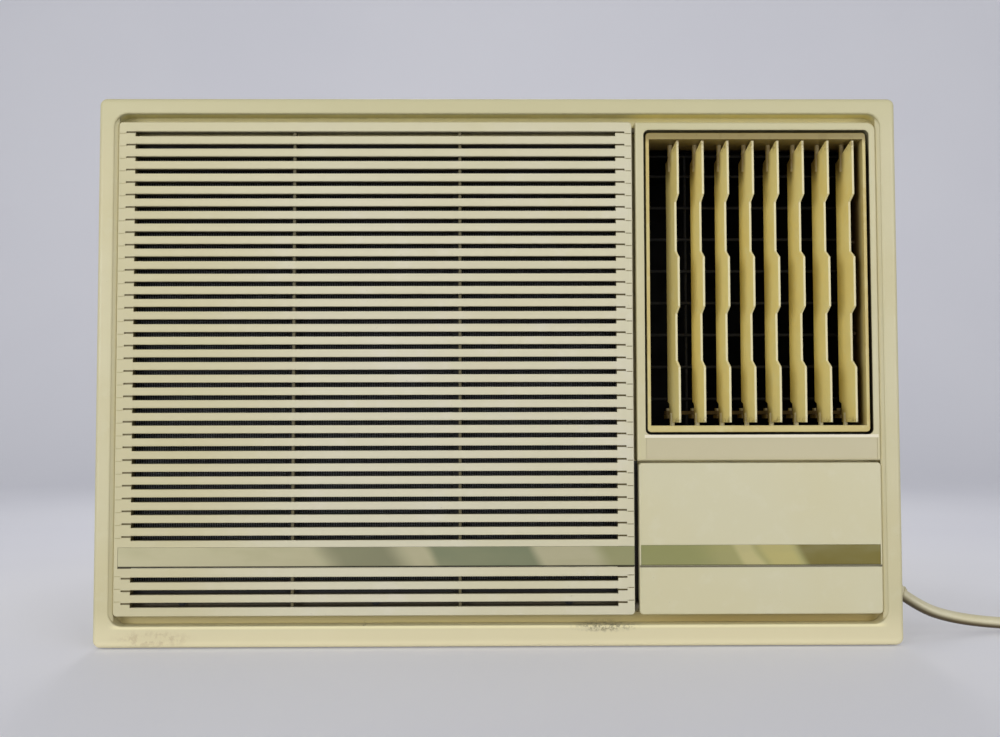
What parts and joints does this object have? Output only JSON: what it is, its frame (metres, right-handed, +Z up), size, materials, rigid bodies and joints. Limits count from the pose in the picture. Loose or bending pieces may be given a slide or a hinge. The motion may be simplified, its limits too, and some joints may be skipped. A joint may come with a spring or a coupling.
{
  "type": "window air conditioner",
  "caption": "Window air conditioner with a slatted intake grille, tilting outlet louvre, control door and slide-out chassis in a steel case.",
  "frame": {"origin": "on the ground under the middle of the unit, cord left out", "axes": "+Z up, +X to the right as seen from the front, the front faces -Y"},
  "size_m": [1.038, 0.68, 0.452],
  "materials": {
    "panel_plastic": "aged ivory moulding",
    "grille_plastic": "ivory moulding",
    "door_plastic": "ivory moulding",
    "louvre_plastic": "yellowed ivory moulding",
    "trim_foil": "polished foil strip",
    "case_paint": "satin stove enamel",
    "zinc_sheet": "zinc-coated sheet",
    "guard_paint": "black wire",
    "screw_steel": "zinc plated",
    "fin_aluminium": "bare fins",
    "copper": "bare copper tube",
    "black_paint": "black enamel",
    "motor_paint": "grey enamel",
    "bearing_bronze": "sintered bronze",
    "shaft_steel": "ground steel",
    "duct_plastic": "dark duct moulding",
    "fan_plastic": "dark fan moulding",
    "rubber": "black rubber",
    "switch_plastic": "dark moulding",
    "plate_plastic": "satin plate",
    "knob_plastic": "brown moulding",
    "filter_plastic": "dark frame",
    "filter_net": "dark net",
    "cord_pvc": "cream sheath",
    "plug_plastic": "cream plug",
    "pin_brass": "brass pins",
    "capacitor_can": "aluminium can"
  },
  "bodies": {
    "cabinet": {"outer_case": "case_paint", "case_base": "case_paint", "rear_guard": "guard_paint", "case_rails": "zinc_sheet", "case_screws": "screw_steel"},
    "chassis": {"base_pan": "zinc_sheet", "drain_spout": "duct_plastic", "front_panel": "panel_plastic", "panel_screws": "screw_steel", "bulkhead": "zinc_sheet", "blower_scroll": "duct_plastic", "wire_guard": "guard_paint", "evaporator_fins": "fin_aluminium", "condenser_fins": "fin_aluminium", "coil_plates": "zinc_sheet", "coil_bends": "copper", "fan_shroud": "zinc_sheet", "motor_shell": "motor_paint", "motor_bearings": "bearing_bronze", "motor_bracket": "zinc_sheet", "compressor": "black_paint", "compressor_grommets": "rubber", "compressor_studs": "screw_steel", "discharge_pipe": "copper", "suction_line": "copper", "liquid_line": "copper", "capillary_tube": "copper", "control_box": "zinc_sheet", "control_plate": "plate_plastic", "control_switches": "switch_plastic", "run_capacitor": "capacitor_can", "cord_gland": "cord_pvc", "power_cord": "cord_pvc", "cord_coil": "cord_pvc", "cord_tie": "rubber", "power_plug": "plug_plastic", "plug_pins": "pin_brass"},
    "fan_rotor": {"motor_shaft": "shaft_steel", "blower_wheel": "fan_plastic", "propeller_fan": "fan_plastic"},
    "louvre": {"louvre_frame": "louvre_plastic"},
    "link": {"blade_link": "louvre_plastic"},
    "grille": {"intake_grille": "grille_plastic", "grille_strip": "trim_foil", "filter_frame": "filter_plastic", "filter_net": "filter_net"},
    "door": {"control_door": "door_plastic", "door_strip": "trim_foil"},
    "thermostat": {"thermostat_knob": "knob_plastic"},
    "selector": {"selector_knob": "knob_plastic"},
    "vent_push": {"vent_pull": "knob_plastic"},
    "vent_shutter": {"vent_flap": "zinc_sheet"},
    "blade_1": {"louvre_blade_1": "louvre_plastic"},
    "blade_2": {"louvre_blade_2": "louvre_plastic"},
    "blade_3": {"louvre_blade_3": "louvre_plastic"},
    "blade_4": {"louvre_blade_4": "louvre_plastic"},
    "blade_5": {"louvre_blade_5": "louvre_plastic"},
    "blade_6": {"louvre_blade_6": "louvre_plastic"},
    "blade_7": {"louvre_blade_7": "louvre_plastic"},
    "blade_8": {"louvre_blade_8": "louvre_plastic"}
  },
  "joints": [
    {"name": "chassis_slide", "type": "slide", "parent": "cabinet", "child": "chassis", "axis": [0, -1, 0], "range_m": [0, 0.6]},
    {"name": "fan_spin", "type": "hinge", "parent": "chassis", "child": "fan_rotor", "pos_m": [-0.06, 0, 0.23], "axis": [0, 1, 0], "continuous": true},
    {"name": "louvre_tilt", "type": "hinge", "parent": "chassis", "child": "louvre", "pos_m": [0.21415, -0.318, 0.2992], "axis": [1, 0, 0], "range_deg": [-10, 10]},
    {"name": "grille_hinge", "type": "hinge", "parent": "chassis", "child": "grille", "pos_m": [-0.1, -0.333, 0.426], "axis": [-1, 0, 0], "range_deg": [0, 75]},
    {"name": "door_hinge", "type": "hinge", "parent": "chassis", "child": "door", "pos_m": [0.214, -0.333, 0.0325], "axis": [1, 0, 0], "range_deg": [0, 95]},
    {"name": "thermostat_turn", "type": "hinge", "parent": "chassis", "child": "thermostat", "pos_m": [0.1615, -0.29, 0.0941], "axis": [0, 1, 0], "range_deg": [-135, 135]},
    {"name": "selector_turn", "type": "hinge", "parent": "chassis", "child": "selector", "pos_m": [0.2245, -0.29, 0.0941], "axis": [0, 1, 0], "range_deg": [0, 180]},
    {"name": "vent_slide", "type": "slide", "parent": "chassis", "child": "vent_push", "axis": [0, 1, 0], "range_m": [0, 0.018]},
    {"name": "vent_hinge", "type": "hinge", "parent": "chassis", "child": "vent_shutter", "pos_m": [0.2835, -0.1115, 0.0885], "axis": [1, 0, 0], "range_deg": [0, 48]},
    {"name": "blade_1_swing", "type": "hinge", "parent": "louvre", "child": "blade_1", "pos_m": [0.1462, -0.31525, 0.2992], "axis": [0, 0, 1], "range_deg": [-39, 16]},
    {"name": "blade_2_swing", "type": "hinge", "parent": "louvre", "child": "blade_2", "pos_m": [0.1671, -0.31525, 0.2992], "axis": [0, 0, 1], "range_deg": [-39, 16]},
    {"name": "blade_3_swing", "type": "hinge", "parent": "louvre", "child": "blade_3", "pos_m": [0.188, -0.31525, 0.2992], "axis": [0, 0, 1], "range_deg": [-39, 16]},
    {"name": "blade_4_swing", "type": "hinge", "parent": "louvre", "child": "blade_4", "pos_m": [0.2089, -0.31525, 0.2992], "axis": [0, 0, 1], "range_deg": [-39, 16]},
    {"name": "blade_5_swing", "type": "hinge", "parent": "louvre", "child": "blade_5", "pos_m": [0.2298, -0.31525, 0.2992], "axis": [0, 0, 1], "range_deg": [-39, 16]},
    {"name": "blade_6_swing", "type": "hinge", "parent": "louvre", "child": "blade_6", "pos_m": [0.2507, -0.31525, 0.2992], "axis": [0, 0, 1], "range_deg": [-39, 16]},
    {"name": "blade_7_swing", "type": "hinge", "parent": "louvre", "child": "blade_7", "pos_m": [0.2716, -0.31525, 0.2992], "axis": [0, 0, 1], "range_deg": [-39, 16]},
    {"name": "blade_8_swing", "type": "hinge", "parent": "louvre", "child": "blade_8", "pos_m": [0.2925, -0.31525, 0.2992], "axis": [0, 0, 1], "range_deg": [-39, 16]},
    {"name": "link_swing", "type": "hinge", "parent": "blade_1", "child": "link", "pos_m": [0.14432, -0.3034, 0.1909], "axis": [0, 0, 1], "range_deg": [-16, 39]}
  ],
  "couplings": [
    {"joint": "blade_2_swing", "follows": "blade_1_swing", "ratio": 1},
    {"joint": "blade_3_swing", "follows": "blade_1_swing", "ratio": 1},
    {"joint": "blade_4_swing", "follows": "blade_1_swing", "ratio": 1},
    {"joint": "blade_5_swing", "follows": "blade_1_swing", "ratio": 1},
    {"joint": "blade_6_swing", "follows": "blade_1_swing", "ratio": 1},
    {"joint": "blade_7_swing", "follows": "blade_1_swing", "ratio": 1},
    {"joint": "blade_8_swing", "follows": "blade_1_swing", "ratio": 1},
    {"joint": "link_swing", "follows": "blade_1_swing", "ratio": -1},
    {"joint": "vent_hinge", "follows": "vent_slide", "rad_per_m": 46}
  ]
}
